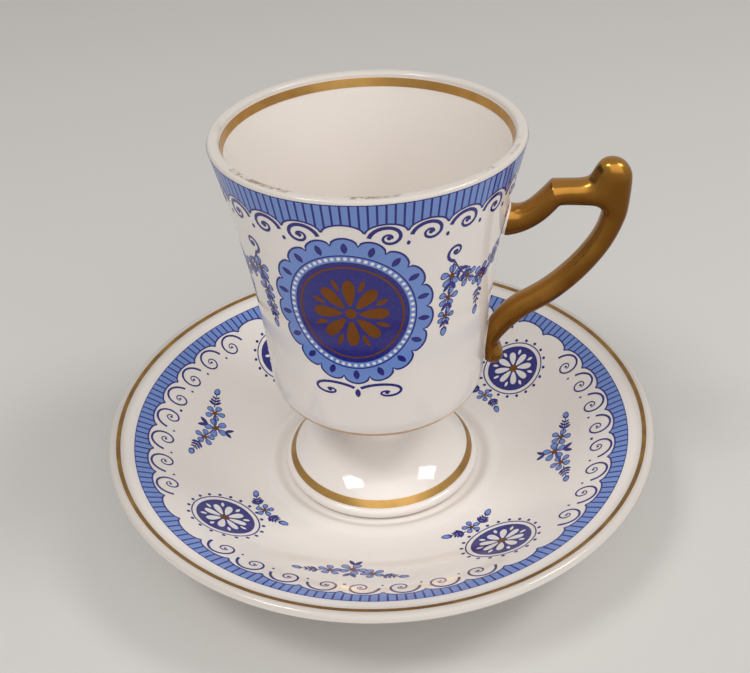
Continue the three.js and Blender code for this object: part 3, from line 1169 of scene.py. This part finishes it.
def parts_of(tree, vector):
    node = tree.nodes.new("ShaderNodeSeparateXYZ")
    wire(tree, vector, node.inputs[0])
    return node.outputs


def maths(tree, operation, first, second=0.0, third=0.0):
    node = tree.nodes.new("ShaderNodeMath")
    node.operation = operation
    for socket, source in zip(node.inputs, (first, second, third)):
        wire(tree, source, socket)
    return node.outputs[0]


def radius_of(tree, axes):
    """Distance from the cup's axis."""
    squares = [maths(tree, "MULTIPLY", axes[axis], axes[axis]) for axis in ("X", "Y")]
    return maths(tree, "SQRT", maths(tree, "ADD", *squares))


def noise(tree, vector, scale, detail=2.0):
    """Noise whose scale is about its number of waves to a metre."""
    node = tree.nodes.new("ShaderNodeTexNoise")
    wire(tree, vector, node.inputs["Vector"])
    node.inputs["Scale"].default_value = scale
    node.inputs["Detail"].default_value = detail
    return node.outputs["Fac"]


def spread(tree, value, low, high, to_low=0.0, to_high=1.0):
    """Maps a value smoothly from one range on to another."""
    node = tree.nodes.new("ShaderNodeMapRange")
    node.interpolation_type = "SMOOTHSTEP"
    for socket, source in zip(node.inputs, (value, low, high, to_low, to_high)):
        wire(tree, source, socket)
    return node.outputs[0]


def blend_colours(tree, part, first, second):
    node = tree.nodes.new("ShaderNodeMix")
    node.data_type = "RGBA"
    wire(tree, part, node.inputs[0])
    wire(tree, first, node.inputs[6])
    wire(tree, second, node.inputs[7])
    return node.outputs[2]


def ripple(tree, place, scale, depth, detail=1.0):
    """The normal of a surface that isn't quite even."""
    node = tree.nodes.new("ShaderNodeBump")
    node.inputs["Strength"].default_value = 1.0
    node.inputs["Distance"].default_value = depth
    wire(tree, noise(tree, place, scale, detail), node.inputs["Height"])
    return node.outputs["Normal"]


def lip_wear(tree, place, lip_height, inner_radius):
    """Scuffs in patches along the top of the cup's lip, on the drinker's side."""
    axes = parts_of(tree, place)
    off_edge = spread(tree, radius_of(tree, axes), inner_radius + 1.7 * MM, inner_radius + 1.3 * MM)
    on_top = spread(tree, axes["Z"], lip_height - 0.5 * MM, lip_height - 0.25 * MM)
    in_front = spread(tree, axes["Y"], 4.0 * MM, -12.0 * MM)
    patches = spread(tree, noise(tree, place, 110.0), 0.44, 0.6)
    specks = spread(tree, noise(tree, place, 800.0, 4.0), 0.38, 0.6)
    worn = off_edge
    for part in (on_top, in_front, patches, specks):
        worn = maths(tree, "MULTIPLY", worn, part)
    return worn


def glaze_finish(name, finish, ring_height=None, lip_height=None, worn_radius=None):
    """White glaze with a slow ripple.

    It is left off a standing ring at its height, and is darker near the top of a lip at its height. A worn
    lip, given by its inner radius, has scuffs.
    """
    material, tree, shader = new_finish(name)
    place = place_in(tree)
    height = parts_of(tree, place)["Z"]
    white = blend_colours(tree, noise(tree, place, 45.0), finish.glaze, finish.glaze_shade)
    roughness = GLAZE_ROUGHNESS
    if lip_height is not None:
        near_lip = spread(tree, height, lip_height - 1.2 * MM, lip_height - 0.3 * MM)
        white = blend_colours(tree, near_lip, white, finish.lip)
    if worn_radius is not None:
        worn = lip_wear(tree, place, lip_height, worn_radius)
        white = blend_colours(tree, worn, white, finish.wear)
    if ring_height is not None:
        bare = spread(tree, height, ring_height + 0.35 * MM, ring_height + 0.15 * MM)
        white = blend_colours(tree, bare, white, finish.biscuit)
        dull = maths(tree, "MULTIPLY", bare, BISCUIT_ROUGHNESS)
        roughness = maths(tree, "MAXIMUM", dull, GLAZE_ROUGHNESS)
    sources = {
        "Base Color": white,
        "Roughness": roughness,
        "Normal": ripple(tree, place, RIPPLE_SCALE, RIPPLE_DEPTH),
        "IOR": GLAZE_INDEX,
        "Subsurface Weight": 0.12,
        "Subsurface Radius": (1.0, 0.9, 0.8),
        "Subsurface Scale": 1.2 * MM,
    }
    feed(tree, shader, sources)
    return material


def gilding_finish(name, thick, thin):
    """Brushed gilding that lies thicker in some places than in others."""
    material, tree, shader = new_finish(name)
    place = place_in(tree)
    patches = spread(tree, noise(tree, place, 260.0), 0.3, 0.8)
    sources = {
        "Base Color": blend_colours(tree, patches, thick, thin),
        "Roughness": spread(tree, noise(tree, place, 300.0), 0.3, 0.7, 0.28, 0.36),
        "Normal": ripple(tree, place, 900.0, 0.004 * MM, 2.0),
        "Metallic": 1.0,
    }
    feed(tree, shader, sources)
    return material


def wall_radius_at(tree, height, bowl):
    """Outer radius of the flared wall, worked out in nodes as wall_radius does it."""
    bottom = bowl.base + bowl.corner_radius
    top = bowl.rim - bowl.lip_edge
    flare = bowl.mouth_radius - bowl.lower_radius
    rise = maths(tree, "DIVIDE", maths(tree, "SUBTRACT", height, bottom), top - bottom)
    straight = maths(tree, "MULTIPLY_ADD", rise, flare, bowl.lower_radius)
    bend = maths(tree, "MULTIPLY", rise, maths(tree, "SUBTRACT", 1.0, rise))
    return maths(tree, "SUBTRACT", straight, maths(tree, "MULTIPLY", bend, 4 * bowl.dip))


def handle_finish(name, finish, handle, bowl):
    """Gilding with painted shade, browner where it faces down, that stops short of the wall with white
    glaze between.
    """
    material, tree, shader = new_finish(name)
    place = place_in(tree)
    axes = parts_of(tree, place)
    proud = maths(tree, "SUBTRACT", radius_of(tree, axes), wall_radius_at(tree, axes["Z"], bowl))
    ragged = maths(tree, "MULTIPLY_ADD", noise(tree, place, 500.0), 0.3 * MM, proud)
    gilded = spread(tree, ragged, handle.bare_root + 0.1 * MM, handle.bare_root + 0.22 * MM)
    # Painted shade: the gilding turns to the darker brown where its normal faces down
    facing_up = parts_of(tree, tree.nodes.new("ShaderNodeNewGeometry").outputs["Normal"])["Z"]
    patches = spread(tree, noise(tree, place, 160.0), 0.2, 0.8, -0.15, 0.15)
    painted_shade_mask = spread(tree, maths(tree, "ADD", facing_up, patches), 0.8, -0.35)
    gold = blend_colours(tree, painted_shade_mask, finish.handle_gold, finish.handle_painted_shade)
    polish = spread(tree, noise(tree, place, 260.0), 0.3, 0.7, 0.18, 0.26)
    sources = {
        "Base Color": blend_colours(tree, gilded, finish.glaze, gold),
        "Metallic": gilded,
        "Roughness": maths(tree, "MAXIMUM", maths(tree, "MULTIPLY", polish, gilded), 0.08),
        "Normal": ripple(tree, place, 150.0, 0.02 * MM),
    }
    feed(tree, shader, sources)
    return material


def ink_finish(name, tone):
    """Ink under the glaze, a little denser in some places than in others."""
    material, tree, shader = new_finish(name)
    place = place_in(tree)
    pale = [part + 0.02 * (1.0 - part) for part in tone[:3]] + [1.0]
    density = spread(tree, noise(tree, place, 1400.0, 4.0), 0.4, 0.9)
    sources = {
        "Base Color": blend_colours(tree, density, tone, pale),
        "Roughness": 0.09,
        "Normal": ripple(tree, place, RIPPLE_SCALE, RIPPLE_DEPTH),
        "IOR": GLAZE_INDEX,
    }
    feed(tree, shader, sources)
    return material


def print_on(name, surface, runs, finish, body, reference=None):
    """Lays a print, and gives each of its inks a finish."""
    for ink, piece in lay(name, surface, runs, reference).items():
        if ink == "gold":
            material = gilding_finish(f"{name}_gilding", finish.print_gold, finish.print_brown)
            dress(piece, material, body, "gilding")
        else:
            material = ink_finish(f"{name}_{ink}_ink", getattr(finish, ink))
            dress(piece, material, body, "glazed_porcelain")
    clear_drawings()


def floor_finish(name, tone):
    material, tree, shader = new_finish(name)
    grain = noise(tree, place_in(tree), 3.0)
    shade = [0.97 * part for part in tone[:3]] + [1.0]
    feed(tree, shader, {"Base Color": blend_colours(tree, grain, tone, shade), "Roughness": 0.85})
    return material


# Operators

class ESPRESSO_OT_saucer(bpy.types.Operator):
    """Turn the saucer"""

    bl_idname = "espresso.saucer"
    bl_label = "Saucer"

    def execute(self, context):
        settings = context.scene.espresso
        piece = spin_profile("porcelain_saucer", saucer_profile(settings.saucer))
        lip_height = settings.saucer.height
        material = glaze_finish("saucer_glaze", settings.finish, ring_height=0.0, lip_height=lip_height)
        dress(piece, material, "saucer", "glazed_porcelain", "saucer")
        return {"FINISHED"}


class ESPRESSO_OT_bowl(bpy.types.Operator):
    """Turn the cup's bowl"""

    bl_idname = "espresso.bowl"
    bl_label = "Cup bowl"

    def execute(self, context):
        settings = context.scene.espresso
        piece = spin_profile("porcelain_bowl", bowl_profile(settings.bowl))
        rim = settings.bowl.rim
        inner_radius = settings.bowl.mouth_radius - settings.bowl.wall
        material = glaze_finish("bowl_glaze", settings.finish, lip_height=rim, worn_radius=inner_radius)
        dress(piece, material, "cup", "glazed_porcelain", "cup_bowl")
        return {"FINISHED"}


class ESPRESSO_OT_foot(bpy.types.Operator):
    """Turn the pedestal foot"""

    bl_idname = "espresso.foot"
    bl_label = "Pedestal foot"

    def execute(self, context):
        settings = context.scene.espresso
        piece = spin_profile("porcelain_foot", foot_profile(settings.foot, settings.bowl))
        material = glaze_finish("foot_glaze", settings.finish, ring_height=settings.foot.base)
        dress(piece, material, "cup", "glazed_porcelain", "cup_foot")
        return {"FINISHED"}


class ESPRESSO_OT_handle(bpy.types.Operator):
    """Model the scrolled handle"""

    bl_idname = "espresso.handle"
    bl_label = "Handle"

    def execute(self, context):
        settings = context.scene.espresso
        piece = model_handle(settings.handle, settings.bowl)
        material = handle_finish("handle_gilding", settings.finish, settings.handle, settings.bowl)
        dress(piece, material, "cup", "gilding", "cup_handle")
        return {"FINISHED"}


class ESPRESSO_OT_gold_lines(bpy.types.Operator):
    """Lay the gold lines on the cup and the saucer"""

    bl_idname = "espresso.gold_lines"
    bl_label = "Gold lines"

    def execute(self, context):
        settings = context.scene.espresso
        gilding = settings.gilding
        material = gilding_finish("line_gilding", settings.finish.gold, settings.finish.gold_dark)
        corner, _, lip, inner, _ = bowl_runs(settings.bowl)
        inside = Surface([*lip, *inner[1:]], len(lip) - 1)
        bottom = Surface(corner)
        dome = Surface(foot_dome(settings.foot))
        dish = Surface(saucer_runs(settings.saucer)[2])
        corner_start = (QUARTER_TURN - gilding.corner_angle) * settings.bowl.corner_radius
        saucer_start = dish.distance_to(gilding.saucer_radius) - gilding.saucer_line / 2
        cup_lines = [
            spin_band("cup_rim_gold", inside, gilding.rim_gap, gilding.rim_band),
            spin_band("bowl_corner_gold", bottom, corner_start, gilding.corner_line),
            spin_band("foot_gold", dome, 0.0, gilding.foot_band),
        ]
        for cup_line in cup_lines:
            dress(cup_line, material, "cup", "gilding")
        saucer_line = spin_band("saucer_gold", dish, saucer_start, gilding.saucer_line)
        # Painted shade: the saucer's line gets a darker copy of the line gilding
        material = gilding_finish("worn_gilding", settings.finish.gold_painted_shade, settings.finish.gold_dark)
        dress(saucer_line, material, "saucer", "gilding")
        return {"FINISHED"}


class ESPRESSO_OT_cup_border(bpy.types.Operator):
    """Print the striped border and its scrolls below the cup's lip"""

    bl_idname = "espresso.cup_border"
    bl_label = "Cup border"

    def execute(self, context):
        settings = context.scene.espresso
        design = settings.design
        wall = wall_surface(settings.bowl)
        reference = wall.at(-design.cup_band_deep).x
        units = design.cup_bites
        shallow = design.cup_band_shallow / MM
        unit, scroll, back_scroll = border_motifs(
            TAU * reference / units / MM,
            shallow,
            design.cup_band_deep / MM,
            design.stripes,
            design.cup_scroll_weight / MM,
            design.cup_scroll_squash,
        )
        quarter = units // 4
        azimuths = [TAU * i / units - QUARTER_TURN for i in range(units)]
        forward = [azimuths[i] for i in range(units) if i % quarter and i // quarter % 2 == 0]
        backward = [azimuths[i] for i in range(units) if i % quarter and i // quarter % 2 == 1]
        runs = [
            (unit, azimuths),
            (scroll, forward),
            (back_scroll, backward),
            (palmette(shallow), azimuths[quarter :: 2 * quarter]),
        ]
        print_on("cup_border", wall, runs, settings.finish, "cup", reference)
        return {"FINISHED"}


class ESPRESSO_OT_cup_medallions(bpy.types.Operator):
    """Print a medallion on the front and the back of the cup"""

    bl_idname = "espresso.cup_medallions"
    bl_label = "Cup medallions"

    def execute(self, context):
        settings = context.scene.espresso
        design = settings.design
        medallion = cup_medallion(design.cup_medallion_scale, design.cup_scroll_drop / MM)
        drawing = compose(stamp(medallion, 0, -design.cup_medallion_height / MM))
        runs = [(drawing, FRONT_AND_BACK)]
        print_on("cup_medallion", wall_surface(settings.bowl), runs, settings.finish, "cup")
        return {"FINISHED"}


class ESPRESSO_OT_cup_festoons(bpy.types.Operator):
    """Print a festoon of flowers on each side of the cup's medallions"""

    bl_idname = "espresso.cup_festoons"
    bl_label = "Cup festoons"

    def execute(self, context):
        settings = context.scene.espresso
        design = settings.design
        right = compose(stamp(festoon(), 0, -design.festoon_height / MM))
        left = compose(stamp(right, flip=True))
        runs = [
            (right, [middle + design.festoon_angle for middle in FRONT_AND_BACK]),
            (left, [middle - design.festoon_angle for middle in FRONT_AND_BACK]),
        ]
        print_on("cup_festoon", wall_surface(settings.bowl), runs, settings.finish, "cup")
        return {"FINISHED"}


class ESPRESSO_OT_saucer_border(bpy.types.Operator):
    """Print the striped border and its scrolls inside the saucer's lip"""

    bl_idname = "espresso.saucer_border"
    bl_label = "Saucer border"

    def execute(self, context):
        settings = context.scene.espresso
        design = settings.design
        dish = dish_surface(settings.saucer, design.saucer_band_radius)
        reference = dish.at(design.saucer_band_deep).x
        units = design.saucer_bites
        motifs = border_motifs(
            TAU * reference / units / MM,
            design.saucer_band_shallow / MM,
            design.saucer_band_deep / MM,
            design.stripes,
            design.saucer_scroll_weight / MM,
            design.saucer_scroll_squash,
        )
        unit, scroll, back_scroll = [turned_in(motif) for motif in motifs]
        azimuths = [TAU * (i + 0.5) / units for i in range(units)]
        forward = []
        backward = []
        for azimuth in azimuths:
            past_medallion = (azimuth + QUARTER_TURN / 2) % QUARTER_TURN
            gap = min(past_medallion, QUARTER_TURN - past_medallion)
            if gap > design.medallion_gap:
                (forward if past_medallion > QUARTER_TURN / 2 else backward).append(azimuth)
        runs = [(unit, azimuths), (scroll, forward), (back_scroll, backward)]
        print_on("saucer_border", dish, runs, settings.finish, "saucer", reference)
        return {"FINISHED"}


class ESPRESSO_OT_saucer_medallions(bpy.types.Operator):
    """Print four medallions and four bouquets in the saucer"""

    bl_idname = "espresso.saucer_medallions"
    bl_label = "Saucer medallions and bouquets"

    def execute(self, context):
        settings = context.scene.espresso
        design = settings.design
        quarters = [QUARTER_TURN * i for i in range(4)]
        between = [quarter + QUARTER_TURN / 2 for quarter in quarters]
        medallions = dish_surface(settings.saucer, design.saucer_medallion_radius)
        runs = [(saucer_medallion(), between)]
        print_on("saucer_medallion", medallions, runs, settings.finish, "saucer")
        bouquets = dish_surface(settings.saucer, design.bouquet_radius)
        print_on("saucer_bouquet", bouquets, [(bouquet(), quarters)], settings.finish, "saucer")
        return {"FINISHED"}


class ESPRESSO_OT_stage(bpy.types.Operator):
    """Set the floor, the light and the camera"""

    bl_idname = "espresso.stage"
    bl_label = "Stage"

    def execute(self, context):
        settings = context.scene.espresso
        stage = settings.stage
        lip_centre = Vector((0, 0, settings.saucer.height - settings.saucer.lip_radius))
        self.lay_floor(stage)
        self.light(context, stage)
        self.aim_camera(context, stage, lip_centre)
        context.scene.view_settings.view_transform = "Standard"
        return {"FINISHED"}

    def lay_floor(self, stage):
        deselect_all()
        bpy.ops.mesh.primitive_circle_add(
            vertices=FLOOR_SEGMENTS, radius=stage.floor_radius, fill_type="NGON"
        )
        floor = name_piece(bpy.context.object, "floor")
        floor.data.materials.append(floor_finish("pale_floor", stage.floor))

    def light(self, context, stage):
        world = context.scene.world or bpy.data.worlds.new("even_light")
        context.scene.world = world
        world.use_nodes = True
        tree = world.node_tree
        rays = tree.nodes.new("ShaderNodeLightPath").outputs
        mirrored = maths(tree, "MAXIMUM", rays["Is Glossy Ray"], rays["Is Transmission Ray"])
        seen = maths(tree, "MAXIMUM", rays["Is Camera Ray"], mirrored)
        strength = spread(tree, seen, 0.0, 1.0, stage.sky_light, stage.backdrop)
        feed(tree, tree.nodes["Background"], {"Color": stage.sky_tone, "Strength": strength})
        windows = (
            ("left_window", -stage.left_turn, stage.left_rise, stage.left_lean),
            ("right_window", stage.right_turn, stage.right_rise, stage.right_lean),
        )
        for name, turn, rise, lean in windows:
            window = self.add_lamp(stage, name, turn, rise, stage.window_distance, lean)
            window.size = stage.window_size
            window.energy = stage.window_power
        panel = self.add_lamp(
            stage, "soft_panel", stage.panel_turn, stage.panel_rise, stage.panel_distance
        )
        panel.size = stage.panel_size
        panel.energy = stage.panel_power

    def add_lamp(self, stage, name, turn, rise, distance, lean=0.0):
        """A square lamp that shines at the cup, at an angle to the right of the camera."""
        azimuth = stage.camera_azimuth + turn
        level = math.cos(rise)
        away = Vector((math.sin(azimuth) * level, -math.cos(azimuth) * level, math.sin(rise)))
        bpy.ops.object.light_add(type="AREA", location=away * distance)
        lamp = bpy.context.object
        lamp.name = name
        lamp.data.color = stage.lamp_tone[:3]
        facing = (-away).to_track_quat("-Z", "Y")
        lamp.rotation_euler = (facing @ Quaternion((0, 0, 1), lean)).to_euler()
        return lamp.data

    def aim_camera(self, context, stage, lip_centre):
        round_cup = Matrix.Rotation(stage.camera_azimuth, 3, "Z")
        back = Vector((0, -math.cos(stage.camera_rise), math.sin(stage.camera_rise)))
        spot = lip_centre + round_cup @ back * stage.camera_distance
        target = lip_centre + round_cup @ Vector((-stage.aim_side, 0, stage.aim_rise))
        ahead = (target - spot).normalized()
        right = ahead.cross(Vector((0, 0, 1))).normalized()
        up = right.cross(ahead)
        lean = stage.camera_roll
        leaning_right = right * math.cos(lean) - up * math.sin(lean)
        leaning_up = right * math.sin(lean) + up * math.cos(lean)
        bpy.ops.object.camera_add(location=spot)
        camera = bpy.context.object
        camera.name = "camera"
        camera.rotation_euler = Matrix((leaning_right, leaning_up, -ahead)).transposed().to_euler()
        camera.data.lens = stage.lens
        camera.data.sensor_width = SENSOR_WIDTH
        camera.data.clip_start = CAMERA_NEAR
        camera.data.clip_end = CAMERA_FAR
        context.scene.camera = camera


class ESPRESSO_PT_panel(bpy.types.Panel):
    """The espresso cup's operators in the sidebar"""

    bl_idname = "ESPRESSO_PT_panel"
    bl_label = "Espresso Cup and Saucer"
    bl_space_type = "VIEW_3D"
    bl_region_type = "UI"
    bl_category = "Espresso"

    def draw(self, context):
        for operator in OPERATORS:
            self.layout.operator(operator.bl_idname)


SETTINGS = (
    SaucerSettings,
    BowlSettings,
    FootSettings,
    HandleSettings,
    GildingSettings,
    DesignSettings,
    FinishSettings,
    StageSettings,
    EspressoSettings,
)
OPERATORS = (
    ESPRESSO_OT_saucer,
    ESPRESSO_OT_bowl,
    ESPRESSO_OT_foot,
    ESPRESSO_OT_handle,
    ESPRESSO_OT_gold_lines,
    ESPRESSO_OT_cup_border,
    ESPRESSO_OT_cup_medallions,
    ESPRESSO_OT_cup_festoons,
    ESPRESSO_OT_saucer_border,
    ESPRESSO_OT_saucer_medallions,
    ESPRESSO_OT_stage,
)
CLASSES = (*SETTINGS, *OPERATORS, ESPRESSO_PT_panel)


def register():
    for made in CLASSES:
        bpy.utils.register_class(made)
    bpy.types.Scene.espresso = PointerProperty(type=EspressoSettings)


def unregister():
    del bpy.types.Scene.espresso
    for made in reversed(CLASSES):
        bpy.utils.unregister_class(made)


def main():
    register()
    bpy.ops.espresso.saucer()
    bpy.ops.espresso.bowl()
    bpy.ops.espresso.foot()
    bpy.ops.espresso.handle()
    bpy.ops.espresso.gold_lines()
    bpy.ops.espresso.cup_border()
    bpy.ops.espresso.cup_medallions()
    bpy.ops.espresso.cup_festoons()
    bpy.ops.espresso.saucer_border()
    bpy.ops.espresso.saucer_medallions()
    bpy.ops.espresso.stage()


if __name__ == "__main__":
    main()
